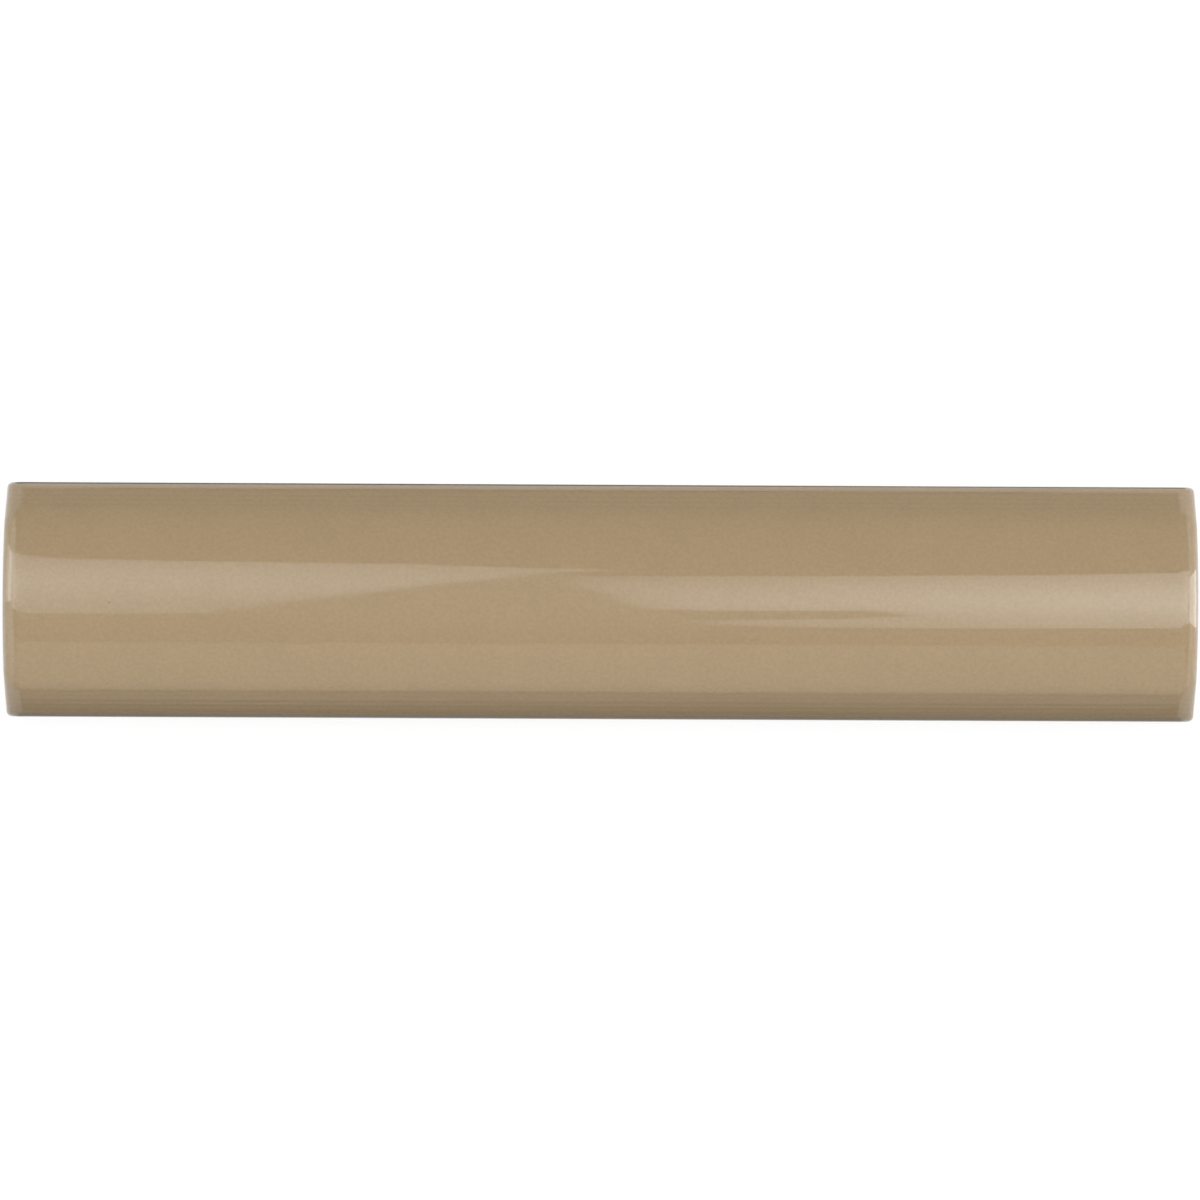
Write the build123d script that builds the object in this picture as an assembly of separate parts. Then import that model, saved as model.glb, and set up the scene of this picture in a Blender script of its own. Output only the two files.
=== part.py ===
from build123d import *
from math import cos, radians, sin, tan
import os

# Outside corner tile: one dry-pressed and glazed ceramic bar that wraps a right-angled wall corner.
# It lies on its two feet, with X along its length, Y across it and Z up through the crown.
# The origin is at the middle of the plane that the feet stand on. All sizes are in millimetres.

# Overall size
length = 152.0
width = 30.0

# Glazed face: a wide arc over the crown, a tighter arc at each shoulder, then a straight leg
corner_angle = 90.0  # angle of the wall corner that the tile wraps
crown_radius = 24.0
crown_half_angle = 25.0  # how far the crown arc leans over before the shoulder arc starts
shoulder_radius = 6.0

# Back: two feet, with a seat for the wall corner between them
foot_width = 5.0
seat_radius = 3.0  # rounding in the bottom of the seat
crown_thickness = 6.25  # ceramic between the bottom of the seat and the top of the crown

# Pressed roundings
end_roll = 2.2  # over the two ends of the face
edge_roll = 1.0  # along the two long edges of the face and down the four upright corners
foot_round = 0.5  # around both feet and the open ends of the seat

# Key grooves pressed into both seat faces, so that the adhesive grips
key_count = 2
key_width = 2.2
key_depth = 0.7
key_draft = 20.0  # lean of a groove's sides
key_round = 0.25  # along the floor of a groove
key_pitch = 4.0
key_foot_land = 3.0  # plain seat face between the foot edge and the middle of the first groove
key_end_land = 7.0  # plain seat face between a groove and the end of the tile

# Worked out from the sizes above
half_width = width / 2
leg_slope = 90.0 - corner_angle / 2  # lean of a leg and of a seat face from level
lean = radians(leg_slope)
crown_lean = radians(crown_half_angle)
seat_half_width = half_width - foot_width
seat_peak = seat_half_width * tan(lean)  # where the two seat faces would meet
seat_top = seat_peak - seat_radius * (1 / cos(lean) - 1)
height = seat_top + crown_thickness

crown_edge_y = crown_radius * sin(crown_lean)
crown_edge_z = height - crown_radius * (1 - cos(crown_lean))
shoulder_centre_y = crown_edge_y - shoulder_radius * sin(crown_lean)
shoulder_centre_z = crown_edge_z - shoulder_radius * cos(crown_lean)
shoulder_edge_y = shoulder_centre_y + shoulder_radius * sin(lean)
shoulder_edge_z = shoulder_centre_z + shoulder_radius * cos(lean)
wall_top = shoulder_edge_z - (half_width - shoulder_edge_y) * tan(lean)


def shoulder_point(angle, side):
    """A point on the shoulder arc where the face leans by angle, on side 1 or -1."""
    y = shoulder_centre_y + shoulder_radius * sin(angle)
    z = shoulder_centre_z + shoulder_radius * cos(angle)
    return (side * y, z)


def blank():
    """The pressed bar before its back is hollowed, with sharp edges."""
    middle_lean = (crown_lean + lean) / 2
    with BuildPart() as bar:
        with BuildSketch(Plane.YZ):
            with BuildLine():
                ThreePointArc(
                    shoulder_point(crown_lean, -1), (0, height), shoulder_point(crown_lean, 1)
                )
                for side in (-1, 1):
                    crown_end = shoulder_point(crown_lean, side)
                    leg_start = shoulder_point(lean, side)
                    leg_end = (side * half_width, wall_top)
                    ThreePointArc(crown_end, shoulder_point(middle_lean, side), leg_start)
                    Line(leg_start, leg_end)
                    Line(leg_end, (side * half_width, 0))
                Line((-half_width, 0), (half_width, 0))
            make_face()
        extrude(amount=length / 2, both=True)
    return bar.part


def rolled_blank():
    """The bar with its ends rolled over first, so that the side edges run around them unbroken."""
    with BuildPart() as bar:
        add(blank())
        ends = bar.faces().filter_by(Axis.X)
        fillet(ends.edges().filter_by(lambda edge: edge.center().Z > wall_top), end_roll)
        side_walls = bar.faces().filter_by(Axis.Y)
        fillet(side_walls.edges().filter_by(lambda edge: edge.center().Z > 0), edge_roll)
    return bar.part


def corner_seat():
    """The wedge of space that the wall corner fills, with a rounded bottom."""
    with BuildPart() as wedge:
        with BuildSketch(Plane.YZ) as section:
            with BuildLine():
                Polyline((-seat_half_width, 0), (0, seat_peak), (seat_half_width, 0), close=True)
            make_face()
            fillet(section.vertices().sort_by(Axis.Y)[-1], seat_radius)
        extrude(amount=length, both=True)
    return wedge.part


def key_groove(side, number):
    """One key groove, pressed squarely into the seat face on side 1 or -1."""
    up_face = key_foot_land + number * key_pitch
    middle_y = side * (seat_half_width - up_face * cos(lean))
    middle_z = up_face * sin(lean)
    into_tile = (0, side * sin(lean), cos(lean))
    seat_face = Plane(origin=(0, middle_y, middle_z), x_dir=(1, 0, 0), z_dir=into_tile)
    with BuildPart() as groove:
        with BuildSketch(seat_face):
            SlotOverall(length - 2 * key_end_land, key_width)
        extrude(amount=key_depth, taper=key_draft)
        floor = groove.faces().sort_by(Axis(seat_face.origin, into_tile))[-1]
        fillet(floor.edges(), key_round)
    return groove.part


def corner_tile():
    """The finished tile."""
    with BuildPart() as tile:
        add(rolled_blank())
        add(corner_seat(), mode=Mode.SUBTRACT)
        feet = tile.faces().filter_by(lambda face: face.center().Z < foot_round / 2)
        fillet(feet.edges(), foot_round)
        for side in (-1, 1):
            for number in range(key_count):
                add(key_groove(side, number), mode=Mode.SUBTRACT)
    return tile.part


os.makedirs("parts", exist_ok=True)
export_step(corner_tile(), "parts/corner_tile.step")
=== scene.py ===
import bpy
from math import cos, radians, sin, tan
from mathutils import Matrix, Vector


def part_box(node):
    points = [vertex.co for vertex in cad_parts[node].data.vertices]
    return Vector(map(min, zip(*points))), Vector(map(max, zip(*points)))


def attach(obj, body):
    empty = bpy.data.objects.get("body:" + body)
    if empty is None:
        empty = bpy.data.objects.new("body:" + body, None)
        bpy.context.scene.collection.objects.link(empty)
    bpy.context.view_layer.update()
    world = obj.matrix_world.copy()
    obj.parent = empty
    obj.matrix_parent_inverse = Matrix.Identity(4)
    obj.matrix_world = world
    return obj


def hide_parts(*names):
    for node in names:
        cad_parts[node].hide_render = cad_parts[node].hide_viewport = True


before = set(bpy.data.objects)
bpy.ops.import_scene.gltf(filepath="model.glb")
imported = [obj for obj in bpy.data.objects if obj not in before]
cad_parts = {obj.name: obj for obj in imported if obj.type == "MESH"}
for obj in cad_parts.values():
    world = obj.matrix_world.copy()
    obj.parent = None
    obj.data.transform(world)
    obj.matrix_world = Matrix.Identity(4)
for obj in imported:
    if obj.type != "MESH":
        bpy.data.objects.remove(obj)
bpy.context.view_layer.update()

# The tile body
# One bar of clay, pressed face up in a steel die, with a rounded face that wraps a wall corner.
# Its back stands on two feet, with a right-angled seat between them for the corner of the wall.
half_length, half_width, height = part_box("corner_tile")[1]

crown_radius = 0.024
crown_lean = radians(25.0)  # where the crown arc hands over to the shoulder arc
shoulder_radius = 0.006
leg_lean = radians(45.0)  # the straight legs and the seat faces both lean by this
foot_width = 0.005
seat_radius = 0.003
key_width = 0.0022
key_pitch = 0.004
key_count = 2
key_foot_land = 0.003
key_end_land = 0.007
key_depth = 0.0007
key_draft = radians(20.0)
hair = 0.00001  # less than any real size, for telling places apart

crown_steps = 24
shoulder_steps = 10
leg_steps = 4
seat_steps = 8

crown_centre = (0.0, height - crown_radius)
shoulder_centre = (
    (crown_radius - shoulder_radius) * sin(crown_lean),
    crown_centre[1] + (crown_radius - shoulder_radius) * cos(crown_lean),
)
shoulder_end = (
    shoulder_centre[0] + shoulder_radius * sin(leg_lean),
    shoulder_centre[1] + shoulder_radius * cos(leg_lean),
)
wall_top = shoulder_end[1] - (half_width - shoulder_end[0]) * tan(leg_lean)
seat_half_width = half_width - foot_width
seat_peak = seat_half_width * tan(leg_lean)
seat_centre = (0.0, seat_peak - seat_radius / cos(leg_lean))


def start_outline(y, z):
    """Put down the first point of an outline, in the plane of the tile's low end."""
    bpy.ops.object.select_all(action="DESELECT")
    bpy.ops.mesh.primitive_plane_add(size=0.001, location=(-half_length, y, z))
    bpy.ops.object.mode_set(mode="EDIT")
    bpy.ops.mesh.merge(type="CENTER")
    return y, z


def draw_line(pen, y, z, steps=1):
    """Draw a straight stretch from the pen to a point, in equal steps."""
    step = (0.0, (y - pen[0]) / steps, (z - pen[1]) / steps)
    for _ in range(steps):
        bpy.ops.mesh.extrude_region_move(TRANSFORM_OT_translate={"value": step})
    return y, z


def draw_arc(pen, centre, turn, steps):
    """Swing the pen round a centre, where a positive turn goes from up towards +Y."""
    bpy.ops.mesh.spin(
        steps=steps, angle=turn, center=(-half_length, centre[0], centre[1]), axis=(1, 0, 0)
    )
    y, z = pen[0] - centre[0], pen[1] - centre[1]
    return (
        centre[0] + y * cos(turn) + z * sin(turn),
        centre[1] - y * sin(turn) + z * cos(turn),
    )


pen = start_outline(0.0, height)
pen = draw_arc(pen, crown_centre, crown_lean, crown_steps)
pen = draw_arc(pen, shoulder_centre, leg_lean - crown_lean, shoulder_steps)
pen = draw_line(pen, half_width, wall_top, leg_steps)
pen = draw_line(pen, half_width, 0.0)
pen = draw_line(pen, seat_half_width, 0.0)
for number in range(key_count):
    for edge in (-0.5, 0.5):
        up_face = key_foot_land + number * key_pitch + edge * key_width
        pen = draw_line(pen, seat_half_width - up_face * cos(leg_lean), up_face * sin(leg_lean))
seat_run = (seat_radius * sin(leg_lean), seat_centre[1] + seat_radius * cos(leg_lean))
pen = draw_line(pen, *seat_run)
draw_arc(pen, seat_centre, -leg_lean, seat_steps)
bpy.ops.object.mode_set(mode="OBJECT")
tile = bpy.context.object
tile.name = "glazed_corner_tile"
bpy.ops.object.transform_apply(location=True, rotation=True, scale=True)

# The other half of the outline is its mirror image, and the closed outline is drawn out lengthwise
bpy.ops.object.modifier_add(type="MIRROR")
mirror = tile.modifiers[-1]
mirror.use_axis = (False, True, False)
mirror.merge_threshold = hair
bpy.ops.object.modifier_apply(modifier=mirror.name)
bpy.ops.object.mode_set(mode="EDIT")
bpy.ops.mesh.select_all(action="SELECT")
bpy.ops.mesh.edge_face_add()
bpy.ops.mesh.extrude_region_move(TRANSFORM_OT_translate={"value": (2 * half_length, 0.0, 0.0)})
bpy.ops.mesh.select_all(action="SELECT")
bpy.ops.mesh.normals_make_consistent(inside=False)
end_margin = 0.0036  # one cut lies just clear of each end's roll, and one at the grooves' ends
for cut in (half_length - end_margin, half_length - key_end_land):
    for x in (-cut, cut):
        bpy.ops.mesh.select_all(action="SELECT")
        bpy.ops.mesh.bisect(plane_co=(x, 0.0, 0.0), plane_no=(1.0, 0.0, 0.0))
bpy.ops.object.mode_set(mode="OBJECT")


def select_edges(piece, chosen):
    """Select the edges for which chosen(middle point, direction) is true, and nothing else."""
    bpy.ops.object.mode_set(mode="EDIT")
    bpy.ops.mesh.select_mode(type="EDGE")
    bpy.ops.mesh.select_all(action="DESELECT")
    bpy.ops.object.mode_set(mode="OBJECT")
    mesh = piece.data
    for edge in mesh.edges:
        start, end = (mesh.vertices[index].co for index in edge.vertices)
        edge.select = chosen((start + end) / 2, end - start)
    bpy.ops.object.mode_set(mode="EDIT")


def select_faces(piece, chosen):
    """Select the faces for which chosen(middle point, normal) is true, and nothing else."""
    bpy.ops.object.mode_set(mode="EDIT")
    bpy.ops.mesh.select_mode(type="FACE")
    bpy.ops.mesh.select_all(action="DESELECT")
    bpy.ops.object.mode_set(mode="OBJECT")
    for face in piece.data.polygons:
        face.select = chosen(face.center, face.normal)
    bpy.ops.object.mode_set(mode="EDIT")


middle_half = half_length - key_end_land
middle_steps = 68
select_edges(tile, lambda middle, along: abs(middle.x) < hair and abs(along.x) > middle_half)
bpy.ops.mesh.subdivide(number_cuts=middle_steps)

# The key grooves are pressed squarely into both seat faces, with leaning sides and rounded ends
key_round = 0.00025
key_end_round = 0.0008
key_end_steps = 5


def into_tile(point):
    """How far a point lies behind the seat face on its side."""
    return (abs(point.y) - seat_half_width) * sin(leg_lean) + point.z * cos(leg_lean)


def in_groove_strip(point):
    """True on the strips of the seat faces where the grooves lie."""
    up_face = (seat_half_width - abs(point.y)) * cos(leg_lean) + point.z * sin(leg_lean)
    number = round((up_face - key_foot_land) / key_pitch)
    off_middle = abs(up_face - key_foot_land - number * key_pitch)
    return abs(point.x) < middle_half and 0 <= number < key_count and off_middle < key_width / 2


def groove_mouth(centre, normal):
    return abs(into_tile(centre)) < hair and in_groove_strip(centre)


def groove_corner(middle, along):
    halfway = abs(into_tile(middle) - key_depth / 2) < hair
    return halfway and in_groove_strip(middle) and abs(along.x) > hair


def groove_floor_radius(middle, along):
    at_floor = abs(into_tile(middle) - key_depth) < hair
    return key_round if at_floor and in_groove_strip(middle) else 0.0


select_faces(tile, groove_mouth)
bpy.ops.mesh.inset(thickness=key_depth * tan(key_draft), depth=-key_depth)
select_edges(tile, groove_corner)
bpy.ops.mesh.bevel(offset=key_end_round, segments=key_end_steps)
bpy.ops.object.mode_set(mode="OBJECT")


def roll_edges(piece, radius_at, steps):
    """Round the edges where radius_at(middle point, direction) isn't zero, as a ball would."""
    mesh = piece.data
    sides = [[] for _ in mesh.edges]
    for face in mesh.polygons:
        for corner in face.loop_indices:
            sides[mesh.loops[corner].edge_index].append(face.normal)
    setbacks = []
    for edge in mesh.edges:
        start, end = (mesh.vertices[index].co for index in edge.vertices)
        radius = radius_at((start + end) / 2, end - start)
        turn = sides[edge.index][0].angle(sides[edge.index][1])
        setbacks.append(radius * tan(turn / 2))
    widest = max(setbacks)
    weights = mesh.attributes.new("bevel_weight_edge", "FLOAT", "EDGE")
    for index, setback in enumerate(setbacks):
        weights.data[index].value = setback / widest
    bpy.ops.object.modifier_add(type="BEVEL")
    bevel = piece.modifiers[-1]
    bevel.limit_method = "WEIGHT"
    bevel.offset_type = "OFFSET"
    bevel.width = widest
    bevel.segments = steps
    bevel.use_clamp_overlap = False
    bpy.ops.object.modifier_apply(modifier=bevel.name)
    mesh.attributes.remove(mesh.attributes["bevel_weight_edge"])


# The two ends of the face roll over first, then one softer roll runs round each side wall
end_roll = 0.0026
edge_roll = 0.0028
corner_radius = 0.0007
foot_round = 0.0005
smooth_angle = radians(36.0)


def end_radius(middle, along):
    on_end = abs(middle.x) > half_length - hair and abs(along.x) < hair
    on_face = middle.z > wall_top and abs(middle.y) < half_width - hair
    above_seat = middle.z > seat_peak - abs(middle.y) + foot_width / 2
    return end_roll if on_end and on_face and above_seat else 0.0


def side_radius(middle, along):
    on_side = abs(middle.y) > half_width - hair and abs(along.y) < hair and middle.z > hair
    if not on_side:
        return 0.0
    end_share = max(0.0, abs(middle.x) - half_length + end_roll) / end_roll
    return edge_roll + (corner_radius - edge_roll) * end_share


def foot_radius(middle, along):
    on_foot = middle.z < hair and abs(along.z) < hair
    return foot_round if on_foot and abs(middle.y) > seat_half_width - hair else 0.0


bpy.ops.object.select_all(action="DESELECT")
tile.select_set(True)
bpy.context.view_layer.objects.active = tile
for radius_at, steps in (
    (groove_floor_radius, 2), (end_radius, 12), (side_radius, 6), (foot_radius, 3),
):
    roll_edges(tile, radius_at, steps)
bpy.ops.object.shade_smooth_by_angle(angle=smooth_angle)
bpy.ops.object.modifier_add(type="WEIGHTED_NORMAL")
even_shine = tile.modifiers[-1]
even_shine.keep_sharp = True
bpy.ops.object.modifier_apply(modifier=even_shine.name)

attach(tile, "root")
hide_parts("corner_tile")


# The glaze and the bare clay
# A beige glaze is sprayed over the face and a little way down the walls, and fires glassy.
# Below it the walls, the feet and the seat show the matt, pale clay of the body.
def wire(tree, kind, settings, values, sources):
    """Add a shader node with its settings, its fixed values and its incoming links."""
    node = tree.nodes.new(kind)
    for name, setting in settings.items():
        setattr(node, name, setting)
    for socket, value in values.items():
        node.inputs[socket].default_value = value
    for socket, source in sources.items():
        tree.links.new(source, node.inputs[socket])
    return node


def calculate(tree, operation, first, second=0.0):
    """A Math node on two inputs, each one a number or another node's output."""
    node = tree.nodes.new("ShaderNodeMath")
    node.operation = operation
    for socket, source in zip(node.inputs, (first, second)):
        if isinstance(source, (int, float)):
            socket.default_value = source
        else:
            tree.links.new(source, socket)
    return node.outputs[0]


def ramp_between(tree, source, low, high, at_low=0.0, at_high=1.0, shape="SMOOTHSTEP"):
    """A change from at_low to at_high as the source goes from low to high, and level beyond."""
    node = wire(
        tree, "ShaderNodeMapRange", {"interpolation_type": shape},
        {"From Min": low, "From Max": high, "To Min": at_low, "To Max": at_high}, {"Value": source},
    )
    return node.outputs["Result"]


def blend_color(tree, share, base, top):
    """One colour over another, each one a fixed colour or another node's output."""
    node = wire(tree, "ShaderNodeMix", {"data_type": "RGBA"}, {}, {"Factor": share})
    for socket, color in ((node.inputs[6], base), (node.inputs[7], top)):
        if isinstance(color, tuple):
            socket.default_value = color
        else:
            tree.links.new(color, socket)
    return node.outputs[2]


# Fired clay and glaze are both a little uneven: soft clouds, with a fine speckle over them
fired_mottle = bpy.data.node_groups.new("fired_mottle", "ShaderNodeTree")
fired_mottle.interface.new_socket("Place", in_out="INPUT", socket_type="NodeSocketVector")
for name in ("Cloud Scale", "Speckle Scale", "Speckle Share"):
    fired_mottle.interface.new_socket(name, in_out="INPUT", socket_type="NodeSocketFloat")
for name in ("Mottle", "Speckle"):
    fired_mottle.interface.new_socket(name, in_out="OUTPUT", socket_type="NodeSocketFloat")
group_in = fired_mottle.nodes.new("NodeGroupInput")
group_out = fired_mottle.nodes.new("NodeGroupOutput")
clouds = wire(
    fired_mottle, "ShaderNodeTexNoise", {}, {"Detail": 2.0, "Roughness": 0.5},
    {"Vector": group_in.outputs["Place"], "Scale": group_in.outputs["Cloud Scale"]},
)
speckle = wire(
    fired_mottle, "ShaderNodeTexNoise", {}, {"Detail": 1.0, "Roughness": 0.6},
    {"Vector": group_in.outputs["Place"], "Scale": group_in.outputs["Speckle Scale"]},
)
mottle = wire(
    fired_mottle, "ShaderNodeMix", {"data_type": "FLOAT"}, {},
    {"Factor": group_in.outputs["Speckle Share"], "A": clouds.outputs["Fac"],
     "B": speckle.outputs["Fac"]},
)
fired_mottle.links.new(mottle.outputs["Result"], group_out.inputs["Mottle"])
fired_mottle.links.new(speckle.outputs["Fac"], group_out.inputs["Speckle"])


def add_mottle(tree, place, cloud_scale, speckle_scale, speckle_share):
    """Use the mottle in a finish, with clouds and a speckle of its own."""
    return wire(
        tree, "ShaderNodeGroup", {"node_tree": fired_mottle},
        {"Cloud Scale": cloud_scale, "Speckle Scale": speckle_scale, "Speckle Share": speckle_share},
        {"Place": place},
    )


# The bare body clay is another effect that both finishes share: soft clouds, and a few dark grains
clay_pale = (0.70, 0.605, 0.465, 1.0)
clay_dark = (0.60, 0.505, 0.375, 1.0)
clay_grit = (0.36, 0.27, 0.18, 1.0)
clay_roughness = 0.88
clay_mottling = (180.0, 3200.0, 0.45)  # scale of the clouds, scale and share of the speckle
clay_contrast = (0.32, 0.68)
clay_relief_strength = 0.6
clay_relief_height = 0.00006
grit_scale = 1300.0
grit_size = (0.16, 0.26)  # where a grain starts and ends to fade, in cells
grit_rarity = (0.86, 0.90)  # the share of cells that hold no grain
grit_strength = 0.7
body_clay = bpy.data.node_groups.new("body_clay", "ShaderNodeTree")
body_clay.interface.new_socket("Place", in_out="INPUT", socket_type="NodeSocketVector")
body_clay.interface.new_socket("Color", in_out="OUTPUT", socket_type="NodeSocketColor")
body_clay.interface.new_socket("Height", in_out="OUTPUT", socket_type="NodeSocketFloat")
group_in = body_clay.nodes.new("NodeGroupInput")
group_out = body_clay.nodes.new("NodeGroupOutput")
clay_mottle = add_mottle(body_clay, group_in.outputs["Place"], *clay_mottling)
clay_share = ramp_between(body_clay, clay_mottle.outputs["Mottle"], *clay_contrast)
clay_tone = blend_color(body_clay, clay_share, clay_dark, clay_pale)
grit = wire(
    body_clay, "ShaderNodeTexVoronoi", {}, {"Scale": grit_scale},
    {"Vector": group_in.outputs["Place"]},
)
grit_pick = wire(body_clay, "ShaderNodeSeparateColor", {}, {}, {"Color": grit.outputs["Color"]})
grit_dot = ramp_between(body_clay, grit.outputs["Distance"], *grit_size, 1.0, 0.0)
grit_rare = ramp_between(body_clay, grit_pick.outputs["Red"], *grit_rarity)
grit_mask = calculate(body_clay, "MULTIPLY", grit_dot, grit_rare)
grit_share = calculate(body_clay, "MULTIPLY", grit_mask, grit_strength)
clay_color = blend_color(body_clay, grit_share, clay_tone, clay_grit)
body_clay.links.new(clay_color, group_out.inputs["Color"])
body_clay.links.new(clay_mottle.outputs["Speckle"], group_out.inputs["Height"])

bare_clay = bpy.data.materials.new("bare_clay")
bare_clay.use_nodes = True
clay_tree = bare_clay.node_tree
clay_shader = clay_tree.nodes["Principled BSDF"]
clay_shader.inputs["Roughness"].default_value = clay_roughness
clay_place = clay_tree.nodes.new("ShaderNodeTexCoord").outputs["Object"]
clay = wire(clay_tree, "ShaderNodeGroup", {"node_tree": body_clay}, {}, {"Place": clay_place})
clay_bump = wire(
    clay_tree, "ShaderNodeBump", {},
    {"Strength": clay_relief_strength, "Distance": clay_relief_height},
    {"Height": clay.outputs["Height"]},
)
clay_tree.links.new(clay.outputs["Color"], clay_shader.inputs["Base Color"])
clay_tree.links.new(clay_bump.outputs["Normal"], clay_shader.inputs["Normal"])

# The glaze itself is beige in two close tones, with the same kind of clouds and speckle
glaze_light = (0.3930, 0.2868, 0.1647, 1.0)
glaze_dark = (0.3470, 0.2532, 0.1453, 1.0)
# the darker glaze tone below is the real bead at the glaze stop, and also the painted shade of the
# ripple lines
bead_and_ripple_shade_color = (0.270, 0.196, 0.112, 1.0)
glaze_roughness = 0.05
glaze_refraction = 1.55
glaze_mottling = (160.0, 2300.0, 0.80)
glaze_contrast = (0.22, 0.78)
glaze = bpy.data.materials.new("beige_glaze")
glaze.use_nodes = True
tree = glaze.node_tree
shader = tree.nodes["Principled BSDF"]
shader.inputs["IOR"].default_value = glaze_refraction
place = tree.nodes.new("ShaderNodeTexCoord").outputs["Object"]
split = wire(tree, "ShaderNodeSeparateXYZ", {}, {}, {0: place})
along = split.outputs["X"]
above_floor = split.outputs["Z"]
off_crown = calculate(tree, "ABSOLUTE", split.outputs["Y"])
glaze_mottle = add_mottle(tree, place, *glaze_mottling)
glaze_share = ramp_between(tree, glaze_mottle.outputs["Mottle"], *glaze_contrast)
glaze_tone = blend_color(tree, glaze_share, glaze_dark, glaze_light)

# Pinholes: a gas bubble has burst here and there and left a tiny dark pit
pinhole_color = (0.150, 0.105, 0.060, 1.0)
pinhole_scale = 210.0
pinhole_size = (0.018, 0.034)  # where a pinhole starts and ends to fade, in cells
pinhole_rarity = (0.90, 0.91)  # the share of cells that hold no pinhole
pinhole_strength = 0.6
pit = wire(tree, "ShaderNodeTexVoronoi", {}, {"Scale": pinhole_scale}, {"Vector": place})
pit_pick = wire(tree, "ShaderNodeSeparateColor", {}, {}, {"Color": pit.outputs["Color"]})
pit_dot = ramp_between(tree, pit.outputs["Distance"], *pinhole_size, 1.0, 0.0)
pit_rare = ramp_between(tree, pit_pick.outputs["Green"], *pinhole_rarity)
pit_mask = calculate(tree, "MULTIPLY", pit_dot, pit_rare)
pit_share = calculate(tree, "MULTIPLY", pit_mask, pinhole_strength)
pitted = blend_color(tree, pit_share, glaze_tone, pinhole_color)

# Fine ripples along the foot of each leg, a trace of the press: ridges in the relief, darker lines as
# painted shade
stripe_turns = 10500.0  # radians of the wave in a metre, so the lines lie 0.6 mm apart
stripes_start = (0.0117, 0.0123)
stripes_end = (0.0139, 0.0142)
stripe_shade_strength = 0.30
stripe_break_scale = 60.0
stripe = calculate(tree, "SINE", calculate(tree, "MULTIPLY", off_crown, stripe_turns))
stripe_in = ramp_between(tree, off_crown, *stripes_start)
stripe_out = ramp_between(tree, off_crown, *stripes_end, 1.0, 0.0)
stripe_band = calculate(tree, "MULTIPLY", stripe_in, stripe_out)
stripe_break = wire(
    tree, "ShaderNodeTexNoise", {}, {"Scale": stripe_break_scale, "Detail": 2.0},
    {"Vector": place},
)
stripe_here = calculate(tree, "MULTIPLY", stripe_band, stripe_break.outputs["Fac"])
stripe_lift = calculate(tree, "MULTIPLY", stripe, stripe_here)
stripe_shade_share = calculate(tree, "MULTIPLY", stripe_lift, stripe_shade_strength)
# the painted shade of the ripple lines goes over the colour here
stripe_shaded = blend_color(tree, stripe_shade_share, pitted, bead_and_ripple_shade_color)

# Painted shade: a thin dark line on the outermost edge, for a mirrored contact shadow, stronger on
# some stretches
rim_shade_color = (0.150, 0.115, 0.068, 1.0)
rim_shade_strength = 0.85
rim_dulling = 0.15  # what the line adds to the roughness
rim_fade = (half_width - 0.00027, half_width - 0.00013)
rim_foot = wall_top - edge_roll * tan(leg_lean / 2)  # where the rolled edge runs into the wall
rim_foot_fade = 0.0004
far_rim_fade = (-0.010, 0.046)  # where along X the line fades away
near_rim_fade = (-0.058, -0.030)
side_change = 0.001  # how near the middle one edge's stretch gives way to the other's
rim_place = ramp_between(tree, off_crown, *rim_fade)
far_stretch = ramp_between(tree, along, *far_rim_fade, 1.0, 0.0)
near_stretch = ramp_between(tree, along, *near_rim_fade, 1.0, 0.0)
far_side = ramp_between(tree, split.outputs["Y"], -side_change, side_change)
rim_stretch = wire(
    tree, "ShaderNodeMix", {"data_type": "FLOAT"}, {},
    {"Factor": far_side, "A": near_stretch, "B": far_stretch},
)
rim_above_wall = ramp_between(tree, above_floor, rim_foot - rim_foot_fade, rim_foot)
rim_band = calculate(tree, "MULTIPLY", rim_place, rim_above_wall)
rim_shade_mask = calculate(tree, "MULTIPLY", rim_band, rim_stretch.outputs["Result"])
rim_shade_share = calculate(tree, "MULTIPLY", rim_shade_mask, rim_shade_strength)
# the painted shade line of the outer edge goes over the colour here
rim_shaded = blend_color(tree, rim_shade_share, stripe_shaded, rim_shade_color)

# The spray stops partway down the walls in a wandering line, with a darker bead just above it
glaze_stop = 0.0042
glaze_stop_wander = 0.0016
wander_scale = 140.0
bead_strength = 0.5
glaze_start = (glaze_stop - 0.0009, glaze_stop - 0.0006)
bead_fade = (glaze_stop - 0.0005, glaze_stop - 0.0001)
wander = wire(
    tree, "ShaderNodeTexNoise", {}, {"Scale": wander_scale, "Detail": 3.0, "Roughness": 0.55},
    {"Vector": place},
)
wander_height = calculate(tree, "MULTIPLY", wander.outputs["Fac"], glaze_stop_wander)
above_stop = calculate(tree, "SUBTRACT", above_floor, wander_height)
glazed_mask = ramp_between(tree, above_stop, *glaze_start)
bead_share = ramp_between(tree, above_stop, *bead_fade, bead_strength, 0.0)
beaded = blend_color(tree, bead_share, rim_shaded, bead_and_ripple_shade_color)
wall_clay = wire(tree, "ShaderNodeGroup", {"node_tree": body_clay}, {}, {"Place": place})
surface_color = blend_color(tree, glazed_mask, wall_clay.outputs["Color"], beaded)
tree.links.new(surface_color, shader.inputs["Base Color"])

# the painted shade line also dulls the shine a little
rim_roughness = calculate(tree, "MULTIPLY", rim_shade_mask, rim_dulling)
gloss = calculate(tree, "ADD", rim_roughness, glaze_roughness)
surface_roughness = wire(
    tree, "ShaderNodeMix", {"data_type": "FLOAT"}, {"A": clay_roughness},
    {"Factor": glazed_mask, "B": gloss},
)
tree.links.new(surface_roughness.outputs["Result"], shader.inputs["Roughness"])

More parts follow.
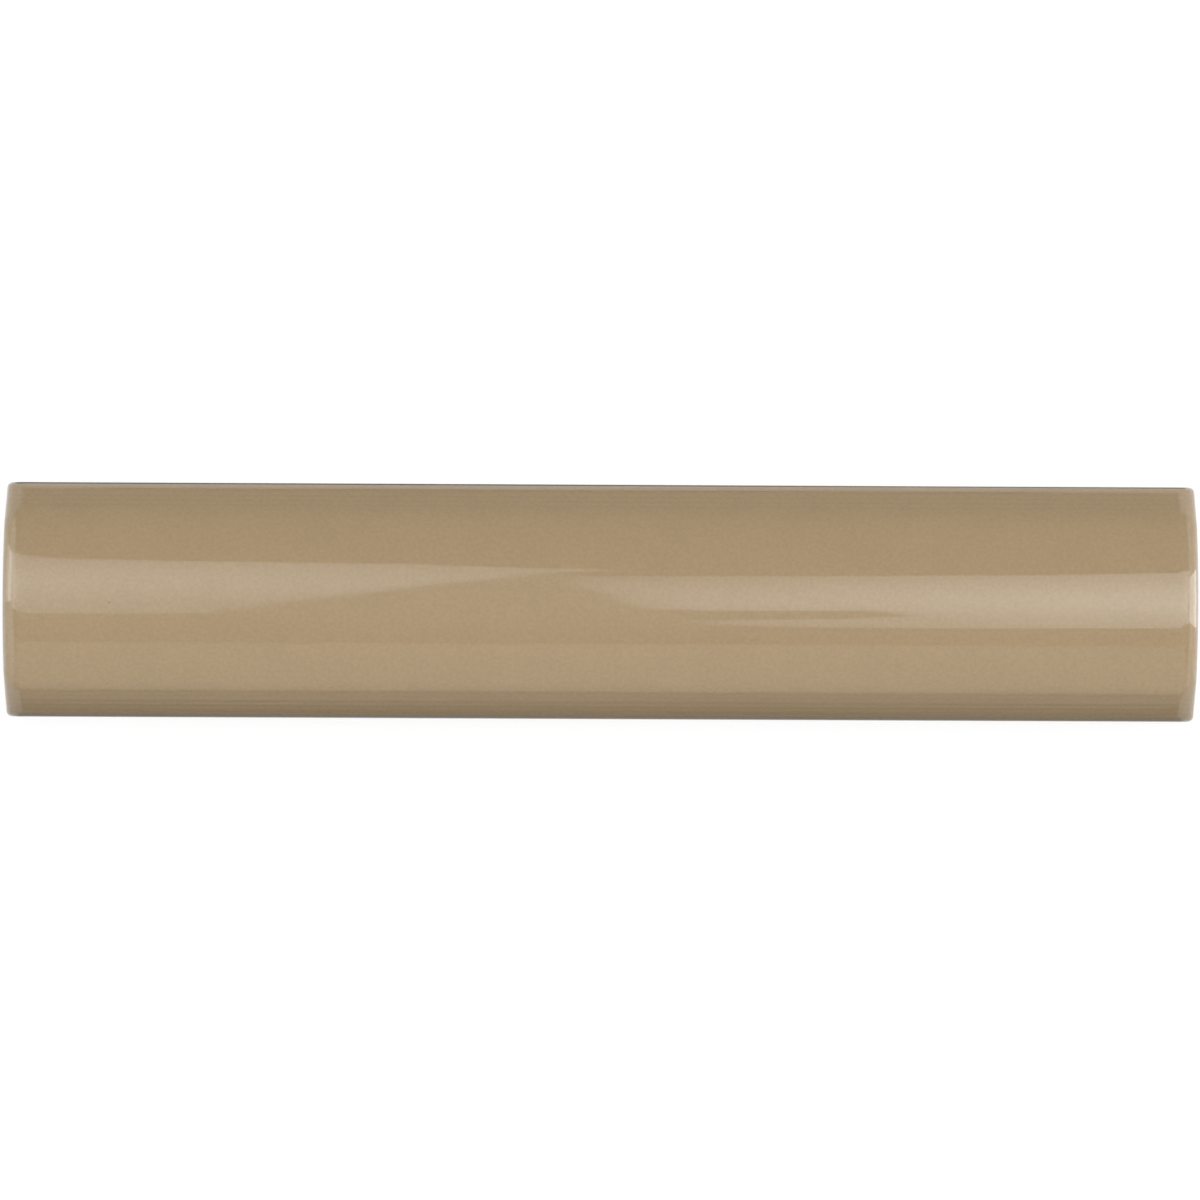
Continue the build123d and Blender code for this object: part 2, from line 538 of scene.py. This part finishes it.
# The glassy surface isn't quite even, and each pinhole is a small dent in it. The heights are in
# tenths of a millimetre.
height_unit = 0.0001
ripple_scale = 900.0
ripple_height = 0.004
stripe_height = 0.010
pinhole_depth = 0.25
clay_relief = 0.6
glaze_thickness = 1.3
ripple = wire(
    tree, "ShaderNodeTexNoise", {}, {"Scale": ripple_scale, "Detail": 1.0}, {"Vector": place}
)
ripple_lift = calculate(tree, "MULTIPLY", ripple.outputs["Fac"], ripple_height)
stripe_ridge = calculate(tree, "MULTIPLY", stripe_lift, stripe_height)
pit_drop = calculate(tree, "MULTIPLY", pit_mask, -pinhole_depth)
glaze_lift = calculate(tree, "ADD", calculate(tree, "ADD", stripe_ridge, ripple_lift), pit_drop)
clay_lift = calculate(tree, "MULTIPLY", wall_clay.outputs["Height"], clay_relief)
skin = wire(
    tree, "ShaderNodeMix", {"data_type": "FLOAT"}, {},
    {"Factor": glazed_mask, "A": clay_lift,
     "B": calculate(tree, "ADD", glaze_lift, glaze_thickness)},
)
glaze_bump = wire(
    tree, "ShaderNodeBump", {}, {"Strength": 1.0, "Distance": height_unit},
    {"Height": skin.outputs["Result"]},
)
tree.links.new(glaze_bump.outputs["Normal"], shader.inputs["Normal"])

tile.data.materials.append(glaze)
tile.data.materials.append(bare_clay)
facing_down = -0.05


def shows_bare_clay(face):
    """The feet, the seat and its grooves were never glazed."""
    in_seat = into_tile(face.center) < key_depth + hair and face.normal.z < facing_down
    return in_seat or face.center.z < foot_round


for face in tile.data.polygons:
    face.material_index = 1 if shows_bare_clay(face) else 0

# The floor
# A sheet of white paper that the tile lies on. The camera and the glaze see it almost evenly
# white, and it still takes a soft shadow round the tile.
floor_size = 3.0
paper_gap = 0.00002  # keeps the feet and the paper from sharing one plane
paper_white = (0.8, 0.8, 0.8, 1.0)
paper_glow = 1.10
glow_share = 0.8
bpy.ops.object.select_all(action="DESELECT")
bpy.ops.mesh.primitive_plane_add(size=floor_size, location=(0.0, 0.0, -paper_gap))
bpy.ops.object.transform_apply(location=True, rotation=True, scale=True)
floor = bpy.context.object
floor.name = "floor"
paper = bpy.data.materials.new("white_paper")
paper.use_nodes = True
tree = paper.node_tree
matte = tree.nodes["Principled BSDF"]
matte.inputs["Base Color"].default_value = paper_white
matte.inputs["Roughness"].default_value = 1.0
glow = wire(
    tree, "ShaderNodeEmission", {}, {"Color": (1.0, 1.0, 1.0, 1.0), "Strength": paper_glow}, {}
)
rays = tree.nodes.new("ShaderNodeLightPath")
seen_or_mirrored = calculate(
    tree, "MAXIMUM", rays.outputs["Is Camera Ray"], rays.outputs["Is Glossy Ray"]
)
or_through_glass = calculate(
    tree, "MAXIMUM", seen_or_mirrored, rays.outputs["Is Transmission Ray"]
)
share = calculate(tree, "MULTIPLY", or_through_glass, glow_share)
blend = wire(
    tree, "ShaderNodeMixShader", {}, {}, {0: share, 1: matte.outputs[0], 2: glow.outputs[0]}
)
tree.links.new(blend.outputs[0], tree.nodes["Material Output"].inputs["Surface"])
floor.data.materials.append(paper)

# The overhead light sheets
# Two long sheets of diffusing cloth hang over the tile, one to each side, and bend down at their
# far ends. Their mirror images are the two bright streaks along the glaze.
sheet_height = 1.15
sheet_reach = 1.2
middle_reach = 0.18  # the cloth brightens fastest within this of the middle


def hang_sheet(name, corners):
    """Cut a flat sheet to the given corners and hang it out of the camera's sight."""
    bpy.ops.object.select_all(action="DESELECT")
    bpy.ops.mesh.primitive_plane_add(size=0.01, location=corners[0])
    bpy.ops.object.mode_set(mode="EDIT")
    bpy.ops.mesh.select_mode(type="VERT")
    bpy.ops.mesh.merge(type="CENTER")
    for last, corner in zip(corners, corners[1:]):
        step = [new - old for new, old in zip(corner, last)]
        bpy.ops.mesh.extrude_region_move(TRANSFORM_OT_translate={"value": step})
    bpy.ops.mesh.select_all(action="SELECT")
    bpy.ops.mesh.edge_face_add()
    bpy.ops.object.mode_set(mode="OBJECT")
    bpy.ops.object.transform_apply(location=True, rotation=True, scale=True)
    sheet = bpy.context.object
    sheet.name = name
    sheet.visible_camera = False
    return sheet


def new_cloth(name):
    """An empty material for cloth or card that gives light, and the place on it."""
    cloth = bpy.data.materials.new(name)
    cloth.use_nodes = True
    tree = cloth.node_tree
    tree.nodes.remove(tree.nodes["Principled BSDF"])
    place = tree.nodes.new("ShaderNodeTexCoord").outputs["Object"]
    split = wire(tree, "ShaderNodeSeparateXYZ", {}, {}, {0: place})
    return cloth, tree, split.outputs


def make_glow(tree, strength):
    """Finish a cloth's material with a glow as strong as another node's output."""
    glow = wire(tree, "ShaderNodeEmission", {}, {}, {"Strength": strength})
    tree.links.new(glow.outputs[0], tree.nodes["Material Output"].inputs["Surface"])


def lit_cloth(name, strengths, middle_y, half_span, edge_share, floor_share=1.0):
    """Cloth lit from behind, dimmer to both sides of middle_y and down towards the floor.

    Its strengths are those at the middle, at middle_reach and at sheet_reach along X.
    """
    at_middle, at_middle_reach, at_reach = strengths
    cloth, tree, place = new_cloth(name)
    outward = calculate(tree, "ABSOLUTE", place["X"])
    inner = ramp_between(tree, outward, 0.0, middle_reach, at_middle, at_middle_reach, "LINEAR")
    outer_gain = at_reach / at_middle_reach
    outer = ramp_between(tree, outward, middle_reach, sheet_reach, 1.0, outer_gain, "LINEAR")
    aside = calculate(tree, "ABSOLUTE", calculate(tree, "SUBTRACT", place["Y"], middle_y))
    sideways = ramp_between(tree, aside, 0.0, half_span, 1.0, edge_share)
    upward = ramp_between(tree, place["Z"], 0.0, sheet_height, floor_share, 1.0, "LINEAR")
    lengthwise = calculate(tree, "MULTIPLY", inner, outer)
    level = calculate(tree, "MULTIPLY", lengthwise, sideways)
    make_glow(tree, calculate(tree, "MULTIPLY", level, upward))
    return cloth


left_edge = (
    (-sheet_reach, 0.740), (-0.177, 0.592), (-0.168, 0.547), (-0.128, 0.510), (-0.060, 0.488),
    (-0.022, 0.431), (0.005, 0.416), (-0.013, 0.370), (-0.022, 0.334), (-0.029, 0.282),
    (-0.044, 0.231), (-0.058, 0.148), (-0.085, 0.010), (-0.105, -0.108), (-0.113, -0.163),
    (-0.156, -0.172), (-sheet_reach, -0.140),
)
right_edge = (
    (sheet_reach, 0.520), (0.170, 0.403), (0.133, 0.368), (0.065, 0.339), (-0.007, 0.324),
    (-0.010, 0.270), (-0.006, 0.190), (0.001, 0.125), (0.0055, 0.060), (0.010, -0.020),
    (0.014, -0.085), (0.032, -0.102), (0.081, -0.092), (0.090, -0.159), (0.070, -0.201),
    (0.047, -0.213), (0.025, -0.236), (0.025, -0.243), (0.035, -0.286), (0.059, -0.308),
    (0.097, -0.313), (0.173, -0.297), (sheet_reach, -0.280),
)
left_sheet = hang_sheet("left_light_sheet", [(x, y, sheet_height) for x, y in left_edge])
right_sheet = hang_sheet("right_light_sheet", [(x, y, sheet_height) for x, y in right_edge])
left_cloth = lit_cloth("left_lit_cloth", (1.75, 2.48, 3.5), 0.230, 0.390, 0.62)
right_cloth = lit_cloth("right_lit_cloth", (1.80, 3.70, 4.0), 0.040, 0.350, 0.56)
left_sheet.data.materials.append(left_cloth)
right_sheet.data.materials.append(right_cloth)

# Each sheet bends down at its far end and falls to the floor, dimmer towards its foot. The left
# fall only shows in the glaze, and gives matt surfaces no light.
fall_strengths = (4.5, 4.5, 4.5)
fall_half_span = 0.300
fall_edge_share = 0.75
fall_floor_share = 0.22
for name, x, top, foot, middle_y in (
    ("left_light_fall", -sheet_reach, (-0.140, 0.740), (-0.010, 0.330), 0.240),
    ("right_light_fall", sheet_reach, (-0.280, 0.520), (-0.110, 0.200), 0.100),
):
    fall = hang_sheet(
        name,
        [(x, top[0], sheet_height), (x, top[1], sheet_height), (x, foot[1], 0.0), (x, foot[0], 0.0)],
    )
    fall.visible_diffuse = x > 0
    fall_cloth = lit_cloth(
        name + "_cloth", fall_strengths, middle_y, fall_half_span, fall_edge_share, fall_floor_share
    )
    fall.data.materials.append(fall_cloth)

# The fill card
# A white card stood on the near side. The near shoulder of the tile mirrors it.
card_distance = 0.6
card_low = 0.13
card_high = 1.228
card_half_width = 0.9
card_strength = 0.79


def plain_glow(name, strength):
    """Cloth or card that glows evenly."""
    cloth = bpy.data.materials.new(name)
    cloth.use_nodes = True
    tree = cloth.node_tree
    tree.nodes.remove(tree.nodes["Principled BSDF"])
    glow = wire(tree, "ShaderNodeEmission", {}, {"Strength": strength}, {})
    tree.links.new(glow.outputs[0], tree.nodes["Material Output"].inputs["Surface"])
    return cloth


fill_card = hang_sheet(
    "fill_card",
    [(-card_half_width, -card_distance, card_high), (card_half_width, -card_distance, card_high),
     (card_half_width, -card_distance, card_low), (-card_half_width, -card_distance, card_low)],
)
fill_card.data.materials.append(plain_glow("lit_card", card_strength))

# The side cards
# A broad card stands beyond each end and lights the rolled ends of the tile, the right one lower.
side_card_distance = 1.25
side_card_half_width = 1.1


def stand_across(name, x, rows, low, high, strength):
    """Stand a glowing card across the tile's length, between two places in Y and two heights."""
    card = hang_sheet(
        name, [(x, rows[0], low), (x, rows[1], low), (x, rows[1], high), (x, rows[0], high)]
    )
    card.data.materials.append(plain_glow(name + "_glow", strength))
    return card


side_card_rows = (-side_card_half_width, side_card_half_width)
stand_across("left_side_card", -side_card_distance, side_card_rows, 0.0, 0.95, 1.5)
stand_across("right_side_card", side_card_distance, side_card_rows, 0.0, 0.45, 1.4)

# The overhead scrim
# A dim cloth stretched above the light sheets, fading towards the near side.
scrim_height = 1.16
scrim_fade = (-0.45, -0.12)
scrim_dim = 0.30
scrim_bright = 0.56
scrim_edge = (
    (-sheet_reach, -0.570), (-sheet_reach, 0.200), (-0.100, 0.200), (-0.020, 0.385),
    (0.000, 0.300), (0.060, 0.200), (sheet_reach, 0.200), (sheet_reach, -0.530),
)
scrim = hang_sheet("overhead_scrim", [(x, y, scrim_height) for x, y in scrim_edge])
scrim_cloth, tree, place = new_cloth("scrim_cloth")
make_glow(tree, ramp_between(tree, place["Y"], *scrim_fade, scrim_dim, scrim_bright, "LINEAR"))
scrim.data.materials.append(scrim_cloth)

# The dark cards
# Matte cards stood on edge to hold light back: a long low one along each side, which darkens what
# the two legs mirror, and a narrow strip close to the near edge, which shades the glaze there.
dark_card_distance = 0.25
near_card_high = 0.0072
far_card_high = 0.040
strip_gap = 0.0045
strip_overhang = 0.010
strip_low = 0.004
strip_high = 0.0138


def matte_card(name, grey):
    """Card that gives no light of its own and has no shine."""
    card = bpy.data.materials.new(name)
    card.use_nodes = True
    matte = card.node_tree.nodes["Principled BSDF"]
    matte.inputs["Base Color"].default_value = (grey, grey, grey, 1.0)
    matte.inputs["Roughness"].default_value = 1.0
    matte.inputs["Specular IOR Level"].default_value = 0.0
    return card


def stand_along(name, half_span, y, low, high, finish):
    """Stand a card of one finish along the tile's length, between two heights."""
    standing = hang_sheet(
        name, [(-half_span, y, low), (half_span, y, low), (half_span, y, high), (-half_span, y, high)]
    )
    standing.data.materials.append(finish)
    return standing


black_card = matte_card("near_black_card", 0.1)
grey_card = matte_card("far_grey_card", 0.35)
stand_along("near_dark_card", sheet_reach, -dark_card_distance, 0.0, near_card_high, black_card)
stand_along("far_dark_card", sheet_reach, dark_card_distance, 0.0, far_card_high, grey_card)
black_strip = matte_card("black_strip", 0.02)
shade_strip = stand_along(
    "shade_strip", half_length + strip_overhang, -half_width - strip_gap, strip_low, strip_high,
    black_strip,
)
shade_strip.visible_glossy = False
shade_strip.visible_transmission = False

# The battens
# Narrow strips of card stand close round the tile, and only its turned-down edges mirror them.
# Across the ends, lit ones stand in front of dimmer ones, where the two streaks run off the tile.
near_batten_distance = 0.0195
near_batten_high = 0.0080
far_batten_distance = 0.0178
far_batten_high = 0.0046
end_gap = 0.008
behind = 0.0005
near_batten_glow = plain_glow("near_batten_glow", 0.55)
far_batten_glow = plain_glow("far_batten_glow", 0.12)
battens = [
    stand_along(
        "near_batten", half_length, -near_batten_distance, 0.0, near_batten_high, near_batten_glow
    ),
    stand_along(
        "far_batten", half_length, far_batten_distance, 0.0, far_batten_high, far_batten_glow
    ),
]
lit_x = half_length + end_gap
dim_x = lit_x + behind
left_streak = (-0.0004, 0.0096)
right_streak = (-0.0036, 0.0055)
for name, x, rows, low, high, strength in (
    ("left_batten", -dim_x, (-0.010, 0.010), 0.0, 0.0145, 1.2),
    ("left_lit_batten", -lit_x, left_streak, 0.0110, 0.0145, 2.6),
    ("left_lit_batten_top", -lit_x, left_streak, 0.0145, 0.0190, 4.6),
    ("right_batten", dim_x, (-0.012, 0.012), 0.0, 0.0120, 1.4),
    ("right_lit_batten", lit_x, right_streak, 0.0, 0.0080, 1.5),
    ("right_lit_batten_top", lit_x, right_streak, 0.0080, 0.0190, 4.8),
):
    battens.append(stand_across(name, x, rows, low, high, strength))
for batten in battens:
    batten.visible_diffuse = False
    batten.visible_shadow = False

# The camera and the room
# The camera looks straight down from above the middle of the tile, turned a little as it was for
# the picture. The room round the stage gives an even, dim light.
camera_above_rim = 0.904
frame_width = 0.1532
frame_pixels = 1200
pixel = frame_width / frame_pixels
camera_x = -0.4 * pixel
camera_y = 1.95 * pixel
camera_turn = radians(0.27)
sensor_width = 36.0
nearest_sight = 0.01
room_strength = 0.265
bpy.ops.object.camera_add(
    location=(camera_x, camera_y, wall_top + camera_above_rim), rotation=(0.0, 0.0, camera_turn)
)
camera = bpy.context.object
camera.data.sensor_width = sensor_width
camera.data.lens = sensor_width * camera_above_rim / frame_width
camera.data.clip_start = nearest_sight
bpy.context.scene.camera = camera

world = bpy.data.worlds.new("room")
world.use_nodes = True
background = world.node_tree.nodes["Background"]
background.inputs["Color"].default_value = (1.0, 1.0, 1.0, 1.0)
background.inputs["Strength"].default_value = room_strength
bpy.context.scene.world = world
bpy.context.scene.view_settings.view_transform = "Standard"
